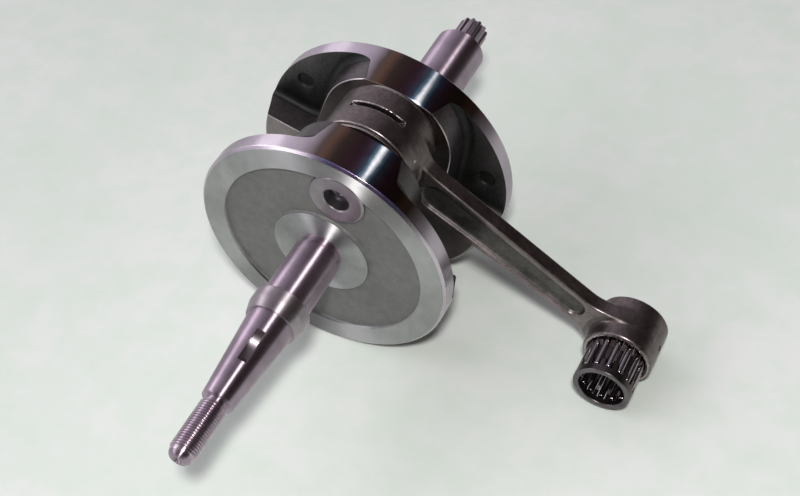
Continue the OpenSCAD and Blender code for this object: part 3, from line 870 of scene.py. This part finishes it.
def cage(node_name, body, centre, needle_d, needle_len, pitch_r, inner, start):
    """A cage with end rings and bars that step inwards in the middle, between the needles."""
    low, high = node_box(node_name)
    outer = (high.x - low.x) / 2
    middle_y, half_len = (low.y + high.y) / 2, (high.y - low.y) / 2
    thick, lip = 1.1, 0.35
    window_half_len = needle_len / 2 + 0.3
    window_half = math.asin((needle_d + 0.55) / 2 / pitch_r)
    steps_in_window, steps_in_bar = 6, 4
    angles = []
    for i in range(NEEDLES):
        at = start + i * NEEDLE_PITCH
        angles += [at - window_half + 2 * window_half * k / steps_in_window for k in range(steps_in_window)]
        bar = NEEDLE_PITCH - 2 * window_half
        angles += [at + window_half + bar * k / steps_in_bar for k in range(steps_in_bar)]
    columns = len(angles)
    dip = window_half_len * 0.42
    rows = [
        (-half_len, inner + lip, outer - lip), (-half_len + lip, inner, outer),
        (-window_half_len - 0.5, inner, outer), (-window_half_len, outer - thick - 0.3, outer),
        (-dip - 1.6, outer - thick - 0.3, outer), (-dip, inner, inner + thick), (dip, inner, inner + thick),
        (dip + 1.6, outer - thick - 0.3, outer), (window_half_len, outer - thick - 0.3, outer),
        (window_half_len + 0.5, inner, outer), (half_len - lip, inner, outer), (half_len, inner + lip, outer - lip),
    ]
    open_rows = {k for k, row in enumerate(rows[:-1])
                 if row[0] >= -window_half_len - 0.01 and rows[k + 1][0] <= window_half_len + 0.01}
    points = []
    for shell in (1, 2):
        for row in rows:
            points += [(centre[0] + row[shell] * math.cos(a), middle_y + row[0],
                        centre[1] + row[shell] * math.sin(a)) for a in angles]
    shell_size = columns * len(rows)

    def solid(row, column):
        if row < 0 or row >= len(rows) - 1:
            return False
        in_window = column % (steps_in_window + steps_in_bar) < steps_in_window
        return not (row in open_rows and in_window)

    faces, tags = [], []
    for row in range(len(rows) - 1):
        for column in range(columns):
            if not solid(row, column):
                continue
            a, b = row * columns + column, row * columns + (column + 1) % columns
            c, d = b + columns, a + columns
            tag = 1 if row in (0, len(rows) - 2) else 0
            faces += [[a, b, c, d], [shell_size + a, shell_size + d, shell_size + c, shell_size + b]]
            tags += [tag, tag]
            for edge, beyond in (((a, b), (row - 1, column)), ((d, c), (row + 1, column)),
                                 ((a, d), (row, (column - 1) % columns)), ((b, c), (row, (column + 1) % columns))):
                if not solid(*beyond):
                    p, q = edge
                    faces.append([p, q, shell_size + q, shell_size + p])
                    tags.append(tag)
    made = make_object(node_name + "_pressed", points, faces, [cage_steel, cage_lip], tags)
    bevel = made.modifiers.new("worn_edges", "BEVEL")
    bevel.width = 0.12 * MM
    bevel.segments = 2
    bevel.limit_method = "ANGLE"
    bevel.angle_limit = math.radians(40)
    crisp(made)
    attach(made, body)
    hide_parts(node_name)


def needles(stem):
    """Rollers with rounded ends."""
    for i in range(1, NEEDLES + 1):
        node_name = f"{stem}_{i:02d}"
        low, high = node_box(node_name)
        centre = (low + high) / 2
        r, half = (high.x - low.x) / 2, (high.y - low.y) / 2
        outline = rounded([
            (0, -half, 0, 0), (r - 0.35, -half, 0, 0.2), (r, -half + 0.5, 0, 0.4), (r, half - 0.5, 0, 0.4),
            (r - 0.35, half, 0, 0.2), (0, half, 0, 0),
        ])
        outline = [(max(0, x), centre.y + s, tag) for x, s, tag in outline]
        made = crisp(turned(node_name + "_roller", outline, [needle_steel], 1, 32, (centre.x, centre.z)), 45)
        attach(made, "roller_" + node_name)
        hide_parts(node_name)


def first_needle_angle(stem, centre):
    """The direction of a bearing's first needle, from which the others follow."""
    first = node_centre(stem + "_01")
    return math.atan2(first.z - centre[1], first.x - centre[0])


def bearings():
    """Both needle bearings: cages, then needles."""
    cage("big_end_cage", "big_end_bearing_cage", PIN_AXIS, needle_d=3.96, needle_len=16.0, pitch_r=15.005,
         inner=PIN_R + 0.6, start=first_needle_angle("big_end_needle", PIN_AXIS))
    cage("small_end_cage", "small_end_bearing_cage", SMALL_AXIS, needle_d=2.98, needle_len=16.4, pitch_r=11.5,
         inner=10.35, start=first_needle_angle("small_end_needle", SMALL_AXIS))
    needles("big_end_needle")
    needles("small_end_needle")


# ---- bench, light and camera ----

def bench():
    """A pale greenish sheet of paper or plastic with faint blotches."""
    half_size = 4.0 / MM
    points = [(x * half_size, y * half_size, BENCH_Z) for y in (-1, 1) for x in (-1, 1)]
    material = bpy.data.materials.new("pale_bench")
    material.use_nodes = True
    tree = material.node_tree
    shader = tree.nodes["Principled BSDF"]
    place = node(tree, "ShaderNodeTexCoord").outputs["Object"]
    blotch = noise(tree, place, 9.0, detail=4.0, roughness=0.55)
    speck = noise(tree, place, 60.0, detail=5.0, roughness=0.6)
    base = mix(tree, ramp(tree, blotch, [(0.3, 0.0), (0.7, 1.0)]), (0.66, 0.72, 0.66), (0.74, 0.765, 0.735))
    base = mix(tree, ramp(tree, speck, [(0.35, 0.4), (0.6, 0.0)]), base, (0.58, 0.70, 0.59))
    tree.links.new(base, shader.inputs["Base Color"])
    shader.inputs["Roughness"].default_value = 0.75
    shader.inputs["Specular IOR Level"].default_value = 0.25
    floor = make_object("bench", points, [[0, 1, 3, 2]], [material])
    if floor.data.polygons[0].normal.z < 0:
        floor.data.flip_normals()


def area_light(name, place, target, size, power, colour, height=None):
    """A square light, or a rectangle when it has a height, in metres and watts."""
    lamp = bpy.data.lights.new(name, "AREA")
    lamp.energy = power
    lamp.color = colour
    lamp.size = size
    if height:
        lamp.shape = "RECTANGLE"
        lamp.size_y = height
    made = bpy.data.objects.new(name, lamp)
    made.location = place
    made.rotation_mode = "QUATERNION"
    made.rotation_quaternion = (Vector(target) - Vector(place)).to_track_quat("-Z", "Y")
    bpy.context.scene.collection.objects.link(made)


def room():
    """A bright side to the left with a long window, a dark brown room to the right, and a lamp near the viewer."""
    world = bpy.data.worlds.new("room")
    bpy.context.scene.world = world
    world.use_nodes = True
    tree = world.node_tree
    direction = node(tree, "ShaderNodeTexCoord").outputs["Generated"]
    facing = node(tree, "ShaderNodeVectorMath", {0: direction, 1: (-0.88, 0.20, 0.43)},
                  operation="DOT_PRODUCT").outputs["Value"]
    share = node(tree, "ShaderNodeMapRange", {"Value": facing, "From Min": -1.0, "From Max": 1.0}).outputs[0]
    colour = ramp(tree, share, [
        (0.00, (0.036, 0.027, 0.024)), (0.44, (0.040, 0.029, 0.027)), (0.56, (0.10, 0.085, 0.095)),
        (0.70, (0.25, 0.23, 0.26)), (0.88, (0.54, 0.51, 0.57)), (1.00, (0.80, 0.76, 0.84)),
    ])
    background = tree.nodes["Background"]
    tree.links.new(colour, background.inputs["Color"])
    background.inputs["Strength"].default_value = 1.2
    area_light("lamp", (0.35, -0.48, 0.81), (0.02, 0, -0.02), size=0.10, power=7.6, colour=(1.0, 0.98, 0.97))
    area_light("window", (-1.10, -0.30, 0.85), (0, 0, 0), size=2.2, power=8.0, colour=(0.98, 0.96, 1.0),
               height=0.55)


def camera():
    """Seen from above, to the right of the flywheel end; the angles are in degrees and the distance in metres."""
    azimuth, elevation, distance = math.radians(38.27), math.radians(46.72), 0.6286
    yaw, pitch, roll = math.radians(-3.11), math.radians(0.544), math.radians(-12.77)
    target = Vector((0, -WEB_OUT * MM, 0))
    back = Vector((math.sin(azimuth) * math.cos(elevation), -math.cos(azimuth) * math.cos(elevation),
                   math.sin(elevation)))
    right = Vector((math.cos(azimuth), math.sin(azimuth), 0))
    up = back.cross(right)
    looking = Matrix((right, -up, -back))
    turned_view = Matrix.Rotation(roll, 3, "Z") @ Matrix.Rotation(pitch, 3, "X") @ Matrix.Rotation(yaw, 3, "Y")
    rows = turned_view @ looking
    lens = bpy.data.cameras.new("camera")
    lens.sensor_width = 36.0
    lens.lens = 64.92
    lens.clip_start = 0.01
    made = bpy.data.objects.new("camera", lens)
    facing = Matrix((rows[0], -rows[1], -rows[2])).transposed()
    made.matrix_world = Matrix.Translation(target + back * distance) @ facing.to_4x4()
    bpy.context.scene.collection.objects.link(made)
    bpy.context.scene.camera = made


camera()
room()
bench()
bpy.context.scene.view_settings.view_transform = "Standard"
flywheel_half()
threaded_end()
drive_half()
crank_pin()
pin_plugs()
seal_collar()
thrust_washers()
connecting_rod()
bearings()
